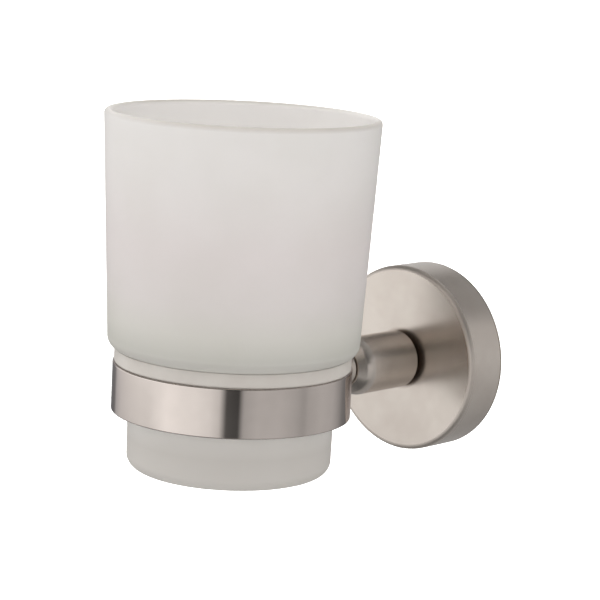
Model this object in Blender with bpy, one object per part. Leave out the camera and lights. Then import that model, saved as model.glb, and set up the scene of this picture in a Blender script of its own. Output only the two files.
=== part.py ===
"""Wall-mounted holder with a frosted glass tumbler for toothbrushes.

The frame's origin is the centre of the bracket's back face, where it meets the wall.
+Z is up, and the holder reaches out from the wall along -Y.
Pieces on the arm's axis are made with their height as the distance from the wall, and the
parent empty then lays them down. Pieces round the tumbler's axis are made upright.
"""
import math

import bmesh
import bpy
from mathutils import Matrix, Vector

# Shared clearances and cuts
fit_gap = 0.0003
cut_overrun = 0.002

# Glass tumbler, from its rim down to its foot
rim_radius = 0.0375
body_taper = 0.00305
shoulder_step = 0.00595
foot_taper = 0.00035
tumbler_height = 0.0980
foot_depth = 0.0326
shoulder_bend = 0.0031
foot_top_bend = 0.0008
base_bend = 0.0035
rim_wall = 0.0024
shoulder_wall = 0.0030
foot_wall = 0.0030
floor_thickness = 0.0050
inner_shoulder_bend = 0.0025
inner_foot_bend = 0.0020
inner_floor_bend = 0.0040
base_kick_depth = 0.0010
base_rest_width = 0.00815
base_kick_bend = 0.0020

# Plastic liner round the tumbler's foot
foot_clearance = 0.0009
liner_sleeve_wall = 0.0018
liner_seat_width = 0.0022
liner_flange_inset = 0.0004
liner_flange_height = 0.0030
liner_flange_edge = 0.0007
liner_under_taper = 0.0005
liner_taper_height = 0.0010
liner_foot_chamfer = 0.0004
seat_slope = math.radians(25)

# Steel ring round the liner
ring_wall = 0.0014
ring_height = 0.0134
ring_edge = 0.0003

# Rose: the round cup that covers the wall bracket
rose_radius = 0.0275
rose_depth = 0.0136
rose_wall = 0.0028
rose_face = 0.0026
rose_edge = 0.0012
rose_inner_bend = 0.0010

# Arm with its shadow groove and coned nose
arm_radius = 0.00845
arm_reach = 0.0384
arm_groove_depth = 0.00145
arm_groove_length = 0.0015
arm_back_edge = 0.0003
arm_shoulder_edge = 0.0020
arm_nose_lip = 0.0004
arm_nose_length = 0.0030

# Neck between the arm and the ring
neck_radius = 0.0052
neck_length = 0.0126
neck_back_edge = 0.0003
neck_end_wall = 0.0036

# Clamp screw through the rose and the arm into the neck
clamp_screw_radius = 0.0020
clamp_head_lip = 0.0018
clamp_head_height = 0.0024
clamp_head_edge = 0.0009
clamp_socket_flats = 0.0025
clamp_socket_depth = 0.0013
clamp_tip_edge = 0.0004
clamp_tip_room = 0.0006
lock_washer_lip = 0.0004
lock_washer_thickness = 0.0009
lock_washer_split = 0.0008

# Dowels that stop the arm and the neck from turning
dowel_gap = 0.00025
dowel_end_edge = 0.0002
arm_dowel_radius = 0.0010
arm_dowel_in_arm = 0.0032
arm_dowel_in_rose = 0.0018
neck_dowel_radius = 0.00075
neck_dowel_in_arm = 0.0024
neck_dowel_in_neck = 0.0022

# Wall bracket inside the rose
bracket_depth = 0.0085
bracket_edge = 0.0004
groove_distance = 0.0050
groove_room = 0.0001
groove_depth = 0.0019
pocket_room = 0.0023
pocket_floor = 0.0042
screw_inset = 0.0114
slot_travel = 0.0036
slot_floor = 0.0035
slot_head_room = 0.0006
plug_relief_room = 0.0007
plug_relief_gap = 0.0006

# Set screw in the underside of the rose
set_screw_radius = 0.0020
set_screw_recess = 0.0003
set_screw_tip_radius = 0.0005
set_screw_tip_gap = 0.0008
set_screw_cone = 0.0013
set_screw_flats = 0.0020
set_screw_socket = 0.0015

# Wall screws and plugs
wall_screw_radius = 0.00175
wall_screw_length = 0.0200
wall_screw_tip = 0.0030
wall_head_lip = 0.00175
wall_head_height = 0.0022
wall_head_edge = 0.0010
cross_slot_width = 0.0009
cross_slot_length = 0.0036
cross_slot_depth = 0.0013
plug_wall = 0.0010
plug_length = 0.0195
plug_collar_lip = 0.0007
plug_collar_height = 0.0008
plug_tip_taper = 0.0006
plug_tip_length = 0.0030
plug_slit_width = 0.0008
plug_slit_length = 0.0130

# Counts of flats round the turned pieces and round their bends: a small bend is one flat
big_round = 64
arm_round = 36
small_round = 16
slot_end_steps = 8
small_bend = 0.0010
bend_step = math.radians(22.5)
sharp_angle = math.radians(32)

# Radii round the tumbler's axis that follow from the sizes above, from the glass outwards
shoulder_radius = rim_radius - body_taper
foot_top_radius = shoulder_radius - shoulder_step
base_radius = foot_top_radius - foot_taper
base_kick_radius = base_radius - base_rest_width
liner_bore = foot_top_radius + foot_clearance
liner_sleeve_radius = liner_bore + liner_sleeve_wall
seat_outer_radius = liner_bore + liner_seat_width
ring_inner_radius = liner_sleeve_radius + fit_gap
ring_outer_radius = ring_inner_radius + ring_wall
liner_flange_radius = ring_outer_radius - liner_flange_inset

# Heights from the ring's middle
ring_top = ring_height / 2
ring_bottom = -ring_height / 2
liner_under = ring_top + fit_gap
liner_top = liner_under + liner_flange_height

# Distances from the wall
arm_back = rose_depth + fit_gap
neck_back = arm_reach + fit_gap
neck_thread_end = neck_back + neck_length - neck_end_wall
ring_reach = neck_back + neck_length + ring_outer_radius

# Radii and offsets round the arm's axis
clamp_hole_radius = clamp_screw_radius + fit_gap
clamp_head_radius = clamp_screw_radius + clamp_head_lip
lock_washer_radius = clamp_head_radius + lock_washer_lip
arm_groove_radius = arm_radius - arm_groove_depth
arm_nose_radius = neck_radius + arm_nose_lip
arm_dowel_offset = (clamp_hole_radius + arm_groove_radius) / 2
neck_dowel_offset = (clamp_hole_radius + neck_radius) / 2
bracket_radius = rose_radius - rose_wall - fit_gap
pocket_radius = lock_washer_radius + pocket_room
groove_half_width = set_screw_radius + groove_room
screw_offset = bracket_radius - screw_inset

# Radii round a wall screw's axis
wall_head_radius = wall_screw_radius + wall_head_lip
plug_bore = wall_screw_radius + dowel_gap
plug_radius = plug_bore + plug_wall
plug_collar_radius = plug_radius + plug_collar_lip


def tumbler_underside(radius):
    """Height of the tumbler's sloping underside, which the liner's seat follows with a gap."""
    seat = liner_top + fit_gap / math.cos(seat_slope)
    return seat + (radius - seat_outer_radius) * math.tan(seat_slope)


def clear_scene():
    for item in list(bpy.data.objects):
        bpy.data.objects.remove(item)


def make_material(name, colour, metallic, roughness, transmission=0.0):
    material = bpy.data.materials.new(name)
    material.use_nodes = True
    shader = material.node_tree.nodes["Principled BSDF"]
    shader.inputs["Base Color"].default_value = (*colour, 1)
    shader.inputs["Metallic"].default_value = metallic
    shader.inputs["Roughness"].default_value = roughness
    shader.inputs["Transmission Weight"].default_value = transmission
    return material


def bent_corner(before, corner, after, bend):
    """Points of the arc that rounds one corner of an outline, or the corner itself."""
    if not bend:
        return [corner]
    to_before = before - corner
    to_after = after - corner
    room = min(to_before.length, to_after.length) / 2
    half_angle = to_before.angle(to_after) / 2
    tangent = min(bend / math.tan(half_angle), room)
    middle = (to_before.normalized() + to_after.normalized()).normalized()
    centre = corner + middle * tangent / math.cos(half_angle)
    first = corner + to_before.normalized() * tangent - centre
    last = corner + to_after.normalized() * tangent - centre
    sweep = math.copysign(first.angle(last), first.cross(last))
    steps = 1 if bend <= small_bend else max(1, round(abs(sweep) / bend_step))
    return [centre + Matrix.Rotation(sweep * i / steps, 2) @ first for i in range(steps + 1)]


def bent_outline(corners, closed):
    """An outline's points from its corners, each (radius, height) or (radius, height, bend)."""
    points = []
    places = [Vector(corner[:2]) for corner in corners]
    count = len(corners)
    for i, corner in enumerate(corners):
        at_end = not closed and i in (0, count - 1)
        bend = corner[2] if len(corner) > 2 and not at_end else 0
        points += bent_corner(places[i - 1], places[i], places[(i + 1) % count], bend)
    return points


def turned_mesh(name, corners, closed, round_steps):
    """A mesh turned round Z: a closed outline makes a ring, an open one ends on the axis."""
    points = bent_outline(corners, closed)
    shape = bmesh.new()
    verts = [shape.verts.new((radius, 0, height)) for radius, height in points]
    for first, second in zip(verts, verts[1:]):
        shape.edges.new((first, second))
    if closed:
        shape.edges.new((verts[-1], verts[0]))
    bmesh.ops.spin(
        shape,
        geom=shape.verts[:] + shape.edges[:],
        cent=(0, 0, 0),
        axis=(0, 0, 1),
        angle=math.tau,
        steps=round_steps,
        use_merge=True,
    )
    bmesh.ops.remove_doubles(shape, verts=shape.verts[:], dist=fit_gap / 100)
    bmesh.ops.recalc_face_normals(shape, faces=shape.faces[:])
    mesh = bpy.data.meshes.new(name)
    shape.to_mesh(mesh)
    shape.free()
    return mesh


def slot_mesh(name, travel, radius, low, high, across):
    """A cutter of a slot's outline, along X, or along Y where across is true."""
    shape = bmesh.new()
    outline = []
    for side, centre in ((0, travel / 2), (math.pi, -travel / 2)):
        for i in range(slot_end_steps + 1):
            angle = side - math.pi / 2 + math.pi * i / slot_end_steps
            along = centre + radius * math.cos(angle)
            beside = radius * math.sin(angle)
            outline.append((beside, along) if across else (along, beside))
    face = shape.faces.new([shape.verts.new((x, y, low)) for x, y in outline])
    grown = bmesh.ops.extrude_face_region(shape, geom=[face])
    top = [item for item in grown["geom"] if isinstance(item, bmesh.types.BMVert)]
    bmesh.ops.translate(shape, vec=(0, 0, high - low), verts=top)
    bmesh.ops.remove_doubles(shape, verts=shape.verts[:], dist=fit_gap / 100)
    bmesh.ops.recalc_face_normals(shape, faces=shape.faces[:])
    mesh = bpy.data.meshes.new(name)
    shape.to_mesh(mesh)
    shape.free()
    return mesh


def box_mesh(name, width, depth, low, high):
    shape = bmesh.new()
    bmesh.ops.create_cube(shape, size=1)
    bmesh.ops.scale(shape, vec=(width, depth, high - low), verts=shape.verts[:])
    bmesh.ops.translate(shape, vec=(0, 0, (high + low) / 2), verts=shape.verts[:])
    mesh = bpy.data.meshes.new(name)
    shape.to_mesh(mesh)
    shape.free()
    return mesh


def hexagon_mesh(name, flats, low, high):
    shape = bmesh.new()
    bmesh.ops.create_cone(
        shape,
        cap_ends=True,
        segments=6,
        radius1=flats / math.sqrt(3),
        radius2=flats / math.sqrt(3),
        depth=high - low,
    )
    bmesh.ops.translate(shape, vec=(0, 0, (high + low) / 2), verts=shape.verts[:])
    mesh = bpy.data.meshes.new(name)
    shape.to_mesh(mesh)
    shape.free()
    return mesh


def pin_mesh(name, radius, low, high, steps, edge=0):
    corners = [(0, low), (radius, low, edge), (radius, high, edge), (0, high)]
    return turned_mesh(name, corners, False, steps)


def place(name, mesh, material, parent, location=(0, 0, 0), rotation=(0, 0, 0)):
    """One piece of the holder, shaded smooth except at its real edges."""
    mesh.shade_smooth()
    mesh.set_sharp_from_angle(angle=sharp_angle)
    mesh.materials.append(material)
    item = bpy.data.objects.new(name, mesh)
    bpy.context.collection.objects.link(item)
    item.parent = parent
    item.location = location
    item.rotation_euler = rotation
    return item


def cut(item, mesh, parent, location=(0, 0, 0), rotation=(0, 0, 0)):
    """Takes a cutter's shape out of a piece and leaves the cutter hidden beside it."""
    cutter = bpy.data.objects.new(mesh.name, mesh)
    bpy.context.collection.objects.link(cutter)
    cutter.parent = parent
    cutter.location = location
    cutter.rotation_euler = rotation
    cutter.hide_render = True
    cutter.display_type = "WIRE"
    modifier = item.modifiers.new(mesh.name, "BOOLEAN")
    modifier.operation = "DIFFERENCE"
    modifier.solver = "EXACT"
    modifier.object = cutter


def make_empty(name, location=(0, 0, 0), rotation=(0, 0, 0)):
    empty = bpy.data.objects.new(name, None)
    bpy.context.collection.objects.link(empty)
    empty.location = location
    empty.rotation_euler = rotation
    return empty


def make_tumbler(material, axis):
    """Frosted glass with a wide body, a sloping shoulder and a narrow foot."""
    shoulder_height = tumbler_underside(shoulder_radius)
    foot_height = tumbler_underside(foot_top_radius)
    base = liner_top - foot_depth
    rim = base + tumbler_height
    wall_lean = (rim_radius - shoulder_radius) / (rim - shoulder_height)
    inner_rim_radius = rim_radius - rim_wall
    inner_shoulder_radius = shoulder_radius - rim_wall
    inner_shoulder = tumbler_underside(inner_shoulder_radius) + shoulder_wall / math.cos(seat_slope)
    inner_foot_radius = foot_top_radius - foot_wall
    inner_foot = tumbler_underside(inner_foot_radius) + shoulder_wall / math.cos(seat_slope)
    inner_shoulder_radius += wall_lean * (inner_shoulder - shoulder_height)
    inner_base_radius = base_radius - foot_wall
    floor = base + floor_thickness
    corners = [
        (0, base + base_kick_depth),
        (base_kick_radius - base_kick_bend, base + base_kick_depth, base_kick_bend),
        (base_kick_radius, base, base_kick_bend),
        (base_radius, base, base_bend),
        (foot_top_radius, foot_height, foot_top_bend),
        (shoulder_radius, shoulder_height, shoulder_bend),
        (rim_radius, rim, rim_wall / 2),
        (inner_rim_radius, rim, rim_wall / 2),
        (inner_shoulder_radius, inner_shoulder, inner_shoulder_bend),
        (inner_foot_radius, inner_foot, inner_foot_bend),
        (inner_base_radius, floor, inner_floor_bend),
        (0, floor),
    ]
    place("tumbler", turned_mesh("tumbler", corners, False, big_round), material, axis)


def make_liner(material, axis):
    """Drop-in plastic ring: its flange lies on the steel ring and its sloped seat carries the glass."""
    seat_low = liner_top - liner_seat_width * math.tan(seat_slope)
    sleeve_end = ring_bottom + ring_edge
    under_radius = liner_flange_radius - liner_under_taper
    corners = [
        (seat_outer_radius, liner_top),
        (liner_flange_radius, liner_top, liner_flange_edge),
        (liner_flange_radius, liner_under + liner_taper_height),
        (under_radius, liner_under),
        (liner_sleeve_radius, liner_under),
        (liner_sleeve_radius, sleeve_end + liner_foot_chamfer),
        (liner_sleeve_radius - liner_foot_chamfer, sleeve_end),
        (liner_bore, sleeve_end),
        (liner_bore, seat_low),
    ]
    place("ring_liner", turned_mesh("ring_liner", corners, True, big_round), material, axis)


def make_ring(material, axis):
    corners = [
        (ring_outer_radius, ring_bottom, ring_edge),
        (ring_outer_radius, ring_top, ring_edge),
        (ring_inner_radius, ring_top, ring_edge),
        (ring_inner_radius, ring_bottom, ring_edge),
    ]
    place("ring_band", turned_mesh("ring_band", corners, True, big_round), material, axis)


def make_neck(material, arm_axis, tumbler_axis):
    """Round stub brazed to the ring's back, with a saddle that follows the ring."""
    front = ring_reach - ring_inner_radius
    corners = [
        (clamp_hole_radius, neck_back),
        (neck_radius, neck_back, neck_back_edge),
        (neck_radius, front),
        (0, front),
        (0, neck_thread_end),
        (clamp_hole_radius, neck_thread_end),
    ]
    neck = place("ring_neck", turned_mesh("ring_neck", corners, True, arm_round), material, arm_axis)
    saddle = pin_mesh(
        "saddle_cutter",
        ring_outer_radius + fit_gap,
        -neck_radius - cut_overrun,
        neck_radius + cut_overrun,
        big_round,
    )
    cut(neck, saddle, tumbler_axis)
    hole = pin_mesh(
        "neck_dowel_hole_in_neck",
        neck_dowel_radius + dowel_gap,
        neck_back - cut_overrun,
        neck_back + neck_dowel_in_neck + fit_gap,
        small_round,
    )
    cut(neck, hole, arm_axis, location=(0, neck_dowel_offset, 0))


def make_arm(material, axis):
    """Turned sleeve with a narrow spigot against the rose, which leaves the shadow groove."""
    groove_end = arm_back + arm_groove_length
    nose_start = arm_reach - arm_nose_length
    corners = [
        (clamp_hole_radius, arm_back),
        (arm_groove_radius, arm_back),
        (arm_groove_radius, groove_end),
        (arm_radius, groove_end, arm_back_edge),
        (arm_radius, nose_start, arm_shoulder_edge),
        (arm_nose_radius, arm_reach),
        (clamp_hole_radius, arm_reach),
    ]
    arm = place("arm", turned_mesh("arm", corners, True, arm_round), material, axis)
    back_hole = pin_mesh(
        "arm_dowel_hole_in_arm",
        arm_dowel_radius + dowel_gap,
        arm_back - cut_overrun,
        arm_back + arm_dowel_in_arm + fit_gap,
        small_round,
    )
    cut(arm, back_hole, axis, location=(0, arm_dowel_offset, 0))
    front_hole = pin_mesh(
        "neck_dowel_hole_in_arm",
        neck_dowel_radius + dowel_gap,
        arm_reach - neck_dowel_in_arm - fit_gap,
        arm_reach + cut_overrun,
        small_round,
    )
    cut(arm, front_hole, axis, location=(0, neck_dowel_offset, 0))


def make_dowels(material, axis):
    arm_dowel = pin_mesh(
        "arm_dowel",
        arm_dowel_radius,
        rose_depth - arm_dowel_in_rose,
        arm_back + arm_dowel_in_arm,
        small_round,
        dowel_end_edge,
    )
    place("arm_dowel", arm_dowel, material, axis, location=(0, arm_dowel_offset, 0))
    neck_dowel = pin_mesh(
        "neck_dowel",
        neck_dowel_radius,
        arm_reach - neck_dowel_in_arm,
        neck_back + neck_dowel_in_neck,
        small_round,
        dowel_end_edge,
    )
    place("neck_dowel", neck_dowel, material, axis, location=(0, neck_dowel_offset, 0))


def make_clamp_screw(steel, axis):
    """Button-head screw that pulls rose, arm and neck together, with its lock washer."""
    washer_high = rose_depth - rose_face - fit_gap
    washer_low = washer_high - lock_washer_thickness
    head_high = washer_low - fit_gap
    head_low = head_high - clamp_head_height
    tip = neck_thread_end - clamp_tip_room
    washer_corners = [
        (clamp_hole_radius, washer_low),
        (lock_washer_radius, washer_low),
        (lock_washer_radius, washer_high),
        (clamp_hole_radius, washer_high),
    ]
    washer = place("lock_washer", turned_mesh("lock_washer", washer_corners, True, small_round), steel, axis)
    split = box_mesh(
        "lock_washer_split",
        lock_washer_split,
        lock_washer_radius + cut_overrun,
        washer_low - cut_overrun,
        washer_high + cut_overrun,
    )
    split_place = (0, -(lock_washer_radius + cut_overrun) / 2, 0)
    cut(washer, split, axis, location=split_place)
    screw_corners = [
        (0, head_low),
        (clamp_head_radius, head_low, clamp_head_edge),
        (clamp_head_radius, head_high),
        (clamp_screw_radius, head_high),
        (clamp_screw_radius, tip, clamp_tip_edge),
        (0, tip),
    ]
    screw = place("clamp_screw", turned_mesh("clamp_screw", screw_corners, False, small_round), steel, axis)
    socket = hexagon_mesh(
        "clamp_socket", clamp_socket_flats, head_low - cut_overrun, head_low + clamp_socket_depth
    )
    cut(screw, socket, axis)


def make_rose(material, axis):
    inner_face = rose_depth - rose_face
    inner_radius = rose_radius - rose_wall
    corners = [
        (rose_radius, 0),
        (rose_radius, rose_depth, rose_edge),
        (clamp_hole_radius, rose_depth),
        (clamp_hole_radius, inner_face),
        (inner_radius, inner_face, rose_inner_bend),
        (inner_radius, 0),
    ]
    rose = place("rose_cover", turned_mesh("rose_cover", corners, True, big_round), material, axis)
    dowel_hole = pin_mesh(
        "arm_dowel_hole_in_rose",
        arm_dowel_radius + dowel_gap,
        inner_face - cut_overrun,
        rose_depth + cut_overrun,
        small_round,
    )
    cut(rose, dowel_hole, axis, location=(0, arm_dowel_offset, 0))
    screw_hole = pin_mesh(
        "set_screw_hole",
        set_screw_radius + dowel_gap,
        inner_radius - rose_wall,
        rose_radius + cut_overrun,
        small_round,
    )
    cut(rose, screw_hole, axis, location=(0, 0, groove_distance), rotation=(math.pi / 2, 0, 0))


def make_set_screw(steel, axis):
    """Hex-socket set screw, point inwards, made along its own axis and turned to point up."""
    outer = rose_radius - set_screw_recess
    tip = bracket_radius - groove_depth + set_screw_tip_gap
    corners = [
        (0, tip),
        (set_screw_tip_radius, tip),
        (set_screw_radius, tip + set_screw_cone),
        (set_screw_radius, outer),
        (0, outer),
    ]
    mesh = turned_mesh("set_screw", corners, False, small_round)
    turn = (math.pi / 2, 0, 0)
    screw = place("set_screw", mesh, steel, axis, location=(0, 0, groove_distance), rotation=turn)
    socket = hexagon_mesh(
        "set_screw_socket_cutter", set_screw_flats, outer - set_screw_socket, outer + cut_overrun
    )
    cut(screw, socket, axis, location=(0, 0, groove_distance), rotation=turn)


def make_bracket(material, axis):
    """Cast puck with a groove for the set screw, a pocket for the clamp screw and two slots."""
    corners = [
        (0, 0),
        (bracket_radius, 0, bracket_edge),
        (bracket_radius, groove_distance - groove_half_width),
        (bracket_radius - groove_depth, groove_distance),
        (bracket_radius, groove_distance + groove_half_width),
        (bracket_radius, bracket_depth, bracket_edge),
        (pocket_radius, bracket_depth),
        (pocket_radius, pocket_floor),
        (0, pocket_floor),
    ]
    mesh = turned_mesh("wall_bracket", corners, False, big_round)
    bracket = place("wall_bracket", mesh, material, axis)
    shank_room = wall_screw_radius + slot_head_room
    head_room = wall_head_radius + slot_head_room
    for label, side in (("upper", 1), ("lower", -1)):
        spot = (0, side * screw_offset, 0)
        across = side < 0
        shank_slot = slot_mesh(
            f"{label}_slot", slot_travel, shank_room, -cut_overrun, slot_floor + cut_overrun, across
        )
        cut(bracket, shank_slot, axis, location=spot)
        head_slot = slot_mesh(
            f"{label}_head_slot", slot_travel, head_room, slot_floor, bracket_depth + cut_overrun, across
        )
        cut(bracket, head_slot, axis, location=spot)
        relief = pin_mesh(
            f"{label}_plug_relief",
            plug_collar_radius + plug_relief_room,
            -cut_overrun,
            plug_collar_height + plug_relief_gap,
            small_round,
        )
        cut(bracket, relief, axis, location=spot)


def make_wall_fixing(label, side, steel, nylon, axis):
    """One wall screw in its slot and the nylon plug that it grips."""
    spot = (0, side * screw_offset, 0)
    head_low = slot_floor + fit_gap
    head_high = head_low + wall_head_height
    tip = head_low - wall_screw_length
    screw_corners = [
        (0, tip),
        (wall_screw_radius, tip + wall_screw_tip),
        (wall_screw_radius, head_low),
        (wall_head_radius, head_low),
        (wall_head_radius, head_high, wall_head_edge),
        (0, head_high),
    ]
    name = f"wall_screw_{label}"
    screw = place(name, turned_mesh(name, screw_corners, False, small_round), steel, axis, location=spot)
    for turn, direction in (("first", 0), ("second", math.pi / 2)):
        slot = box_mesh(
            f"{label}_{turn}_cross_slot",
            cross_slot_length,
            cross_slot_width,
            head_high - cross_slot_depth,
            head_high + cut_overrun,
        )
        cut(screw, slot, axis, location=spot, rotation=(0, 0, direction))
    plug_end = -plug_length
    plug_corners = [
        (plug_bore, plug_collar_height),
        (plug_collar_radius, plug_collar_height),
        (plug_collar_radius, 0),
        (plug_radius, 0),
        (plug_radius, plug_end + plug_tip_length),
        (plug_radius - plug_tip_taper, plug_end),
        (plug_bore, plug_end),
    ]
    name = f"wall_plug_{label}"
    plug = place(name, turned_mesh(name, plug_corners, True, small_round), nylon, axis, location=spot)
    slit = box_mesh(
        f"{label}_plug_slit",
        plug_slit_width,
        plug_collar_radius * 2 + cut_overrun,
        plug_end - cut_overrun,
        plug_end + plug_slit_length,
    )
    cut(plug, slit, axis, location=spot)


def main():
    clear_scene()
    frosted_glass = make_material("frosted_glass", (0.72, 0.70, 0.67), 0.0, 0.55, 0.4)
    clear_plastic = make_material("clear_plastic", (0.62, 0.60, 0.56), 0.0, 0.35, 0.5)
    polished_steel = make_material("polished_steel", (0.62, 0.58, 0.55), 1.0, 0.16)
    satin_steel = make_material("satin_steel", (0.58, 0.54, 0.50), 1.0, 0.34)
    screw_steel = make_material("screw_steel", (0.60, 0.60, 0.60), 1.0, 0.30)
    cast_zinc = make_material("cast_zinc", (0.42, 0.42, 0.43), 1.0, 0.50)
    plug_nylon = make_material("plug_nylon", (0.55, 0.55, 0.55), 0.0, 0.50)

    arm_axis = make_empty("arm_axis", rotation=(math.pi / 2, 0, 0))
    tumbler_axis = make_empty("tumbler_axis", location=(0, -ring_reach, 0))

    make_tumbler(frosted_glass, tumbler_axis)
    make_liner(clear_plastic, tumbler_axis)
    make_ring(polished_steel, tumbler_axis)
    make_neck(satin_steel, arm_axis, tumbler_axis)
    make_arm(satin_steel, arm_axis)
    make_dowels(screw_steel, arm_axis)
    make_clamp_screw(screw_steel, arm_axis)
    make_rose(satin_steel, arm_axis)
    make_set_screw(screw_steel, arm_axis)
    make_bracket(cast_zinc, arm_axis)
    for label, side in (("upper", 1), ("lower", -1)):
        make_wall_fixing(label, side, screw_steel, plug_nylon, arm_axis)


main()
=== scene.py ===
"""Looks of a wall-mounted holder with a frosted glass tumbler for toothbrushes.

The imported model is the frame, and every piece here is made at its place in it, in metres.
Turned pieces are made upright round Z. Those on the arm's axis are then laid down, so that
their height becomes the distance from the wall, and those round the tumbler move to its axis.
"""

import math

import bmesh
import bpy
from mathutils import Matrix, Vector


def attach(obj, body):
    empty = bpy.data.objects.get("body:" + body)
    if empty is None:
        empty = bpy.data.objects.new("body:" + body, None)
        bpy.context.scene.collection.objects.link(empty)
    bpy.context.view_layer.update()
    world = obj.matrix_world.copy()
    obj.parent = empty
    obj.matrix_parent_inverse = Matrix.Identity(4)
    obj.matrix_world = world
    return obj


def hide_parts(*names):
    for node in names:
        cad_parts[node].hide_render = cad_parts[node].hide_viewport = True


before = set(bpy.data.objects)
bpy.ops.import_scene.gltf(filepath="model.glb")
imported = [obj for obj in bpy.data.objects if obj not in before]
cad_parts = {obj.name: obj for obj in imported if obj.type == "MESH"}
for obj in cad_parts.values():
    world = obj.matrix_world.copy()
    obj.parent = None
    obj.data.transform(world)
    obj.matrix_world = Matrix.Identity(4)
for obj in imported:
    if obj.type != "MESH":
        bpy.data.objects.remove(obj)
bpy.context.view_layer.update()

# Millimetre, gap between pieces that touch, and how far a cutter runs past the face it opens
mm = 0.001
fit_gap = 0.3 * mm
overrun = 2.0 * mm

# Glass tumbler
rim_radius = 37.5 * mm
shoulder_radius = 34.45 * mm
foot_top_radius = 28.5 * mm
base_radius = 28.15 * mm
rim_height = 75.4 * mm
base_height = -22.6 * mm
rim_wall = 2.4 * mm
shoulder_wall = 3.0 * mm
foot_wall = 3.0 * mm
floor_thickness = 5.0 * mm
kick_radius = 20.0 * mm
kick_depth = 1.0 * mm
seat_slope = math.radians(25)

# Liner and ring
liner_bore = 29.4 * mm
liner_sleeve_radius = 31.2 * mm
liner_flange_radius = 32.5 * mm
seat_radius = 31.6 * mm
liner_under = 7.0 * mm
liner_top = 10.0 * mm
ring_radius = 32.9 * mm
ring_wall = 1.4 * mm
ring_half = 6.7 * mm
ring_edge = 0.3 * mm
ring_reach = 84.2 * mm

# Rose, arm and neck
rose_radius = 27.5 * mm
rose_depth = 13.6 * mm
rose_wall = 2.8 * mm
rose_face = 2.6 * mm
rose_edge = 1.4 * mm
arm_radius = 8.45 * mm
arm_reach = 38.4 * mm
arm_back = rose_depth + fit_gap
arm_groove_radius = 7.0 * mm
arm_groove_length = 1.5 * mm
nose_radius = 5.6 * mm
nose_length = 3.0 * mm
nose_bend = 4.0 * mm
neck_radius = 5.2 * mm
neck_back = arm_reach + fit_gap
neck_hole_end = 47.7 * mm
screw_hole_radius = 2.3 * mm

# Holes for the dowels, each beside the clamp screw: radius, distance from the axis and depth
arm_dowel_hole = 1.25 * mm
arm_dowel_offset = 4.65 * mm
arm_dowel_depth = 3.5 * mm
neck_dowel_hole = 1.0 * mm
neck_dowel_offset = 3.75 * mm
neck_dowel_depth = 2.5 * mm
nose_dowel_depth = 2.7 * mm

# Clamp screw and set screw, both M4
m4_radius = 2.0 * mm
m4_pitch = 0.7 * mm
clamp_core = 1.62 * mm
clamp_head_radius = 3.8 * mm
clamp_head_height = 2.4 * mm
clamp_socket = 2.5 * mm
washer_thickness = 0.9 * mm
set_core = 1.65 * mm
set_point = 1.0 * mm
set_socket = 2.0 * mm
set_hole_radius = 2.25 * mm

# Wall bracket
bracket_radius = 24.4 * mm
bracket_depth = 8.5 * mm
groove_distance = 5.0 * mm
groove_half_width = 2.1 * mm
groove_depth = 1.9 * mm
pocket_radius = 6.5 * mm
pocket_floor = 4.2 * mm
screw_offset = 13.0 * mm
slot_travel = 3.6 * mm
slot_radius = 2.35 * mm
head_slot_radius = 4.1 * mm
head_slot_floor = 3.5 * mm
collar_bore_radius = 4.4 * mm
collar_bore_depth = 1.4 * mm

# Wall screws, 3.5 mm, and their plugs
wall_core = 1.2 * mm
wall_crest = 1.75 * mm
wall_pitch = 1.5 * mm
wall_screw_length = 20 * mm
wall_point = 3 * mm
wall_head_low = 3.8 * mm
wall_head_height = 2.2 * mm
wall_head_radius = 3.5 * mm
plug_end = -19.5 * mm
plug_bore = 2.0 * mm
plug_radius = 3.0 * mm
plug_collar_radius = 3.7 * mm
plug_collar_height = 0.8 * mm

# Roundings of small corners, from a plain cut on a lathe to a casting's
cut_edge = 0.1 * mm
eased_edge = 0.15 * mm
turned_edge = 0.3 * mm
cast_edge = 0.4 * mm

# Steps round a turned piece, by its size
big_round = 192
arm_round = 144
bore_round = 60
small_round = 48
thread_round = 32

# Fewest steps in a rounding, the radius that is worth one step, and how near its ends a long
# side is split
edge_steps = 4
bend_step = 0.3 * mm
hold = 0.12 * mm

# How close points merge, after a turn and after a cut, and the angle at which edges stay sharp
merge_distance = 0.001 * mm
cut_merge_distance = 0.0005 * mm
crease = math.radians(40)

# Directions and places of the pieces' axes
upright = (0, 0, 1)
off_the_wall = (0, 1, 0)
tumbler_axis = (0, -ring_reach, 0)
tumbler_place = Matrix.Translation(tumbler_axis)
arm_place = Matrix.Rotation(math.pi / 2, 4, "X")
downward = Matrix.Translation((0, 0, groove_distance)) @ Matrix.Rotation(math.pi / 2, 4, "X")


def tone(code):
    """A linear colour from an sRGB hex code."""
    parts = [int(code[i:i + 2], 16) / 255 for i in (1, 3, 5)]
    return (*(p / 12.92 if p <= 0.04045 else ((p + 0.055) / 1.055) ** 2.4 for p in parts), 1)


def add(tree, kind, links=None, values=None, **settings):
    """One node with its settings, its sockets' values and the links that come in."""
    node = tree.nodes.new(kind)
    for name, value in settings.items():
        setattr(node, name, value)
    for socket, value in (values or {}).items():
        node.inputs[socket].default_value = value
    for socket, source in (links or {}).items():
        tree.links.new(source, node.inputs[socket])
    return node


def set_stops(ramp, stops):
    """Gives a colour ramp its stops, each (place, grey or colour)."""
    elements = ramp.color_ramp.elements
    while len(elements) > 1:
        elements.remove(elements[-1])
    for i, (place, value) in enumerate(stops):
        element = elements.new(place) if i else elements[0]
        element.position = place
        element.color = value if isinstance(value, tuple) else (value, value, value, 1)


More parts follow.
